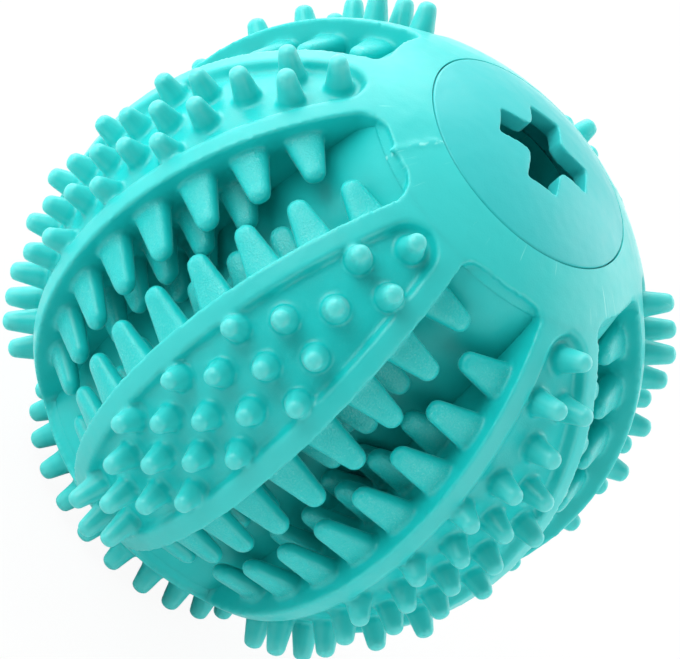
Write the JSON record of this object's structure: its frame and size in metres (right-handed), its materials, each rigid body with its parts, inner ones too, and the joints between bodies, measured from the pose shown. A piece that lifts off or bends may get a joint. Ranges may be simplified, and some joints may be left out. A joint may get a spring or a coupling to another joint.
{
  "type": "treat dispensing ball",
  "caption": "Hollow rubber pet ball with nubbed segments, toothed grooves between them and a cross-slotted disc at one pole that lets treats out as it rolls.",
  "frame": {"origin": "centre of the ball", "axes": "+Z along the polar axis, out through the middle of the slotted disc; +X through the middle of a groove and +Y through the middle of a segment"},
  "size_m": [0.0696, 0.0744, 0.0698],
  "materials": {
    "turquoise_rubber": "satin, soft thermoplastic rubber",
    "disc_rubber": "satin, soft thermoplastic rubber, slightly smoother than the body"
  },
  "bodies": {
    "root": {"core_shell": "turquoise_rubber", "segment_1": "turquoise_rubber", "segment_2": "turquoise_rubber", "segment_3": "turquoise_rubber", "segment_4": "turquoise_rubber", "segment_5": "turquoise_rubber", "segment_6": "turquoise_rubber", "top_crown": "turquoise_rubber", "bottom_crown": "turquoise_rubber", "slot_disc": "disc_rubber"}
  },
  "joints": []
}
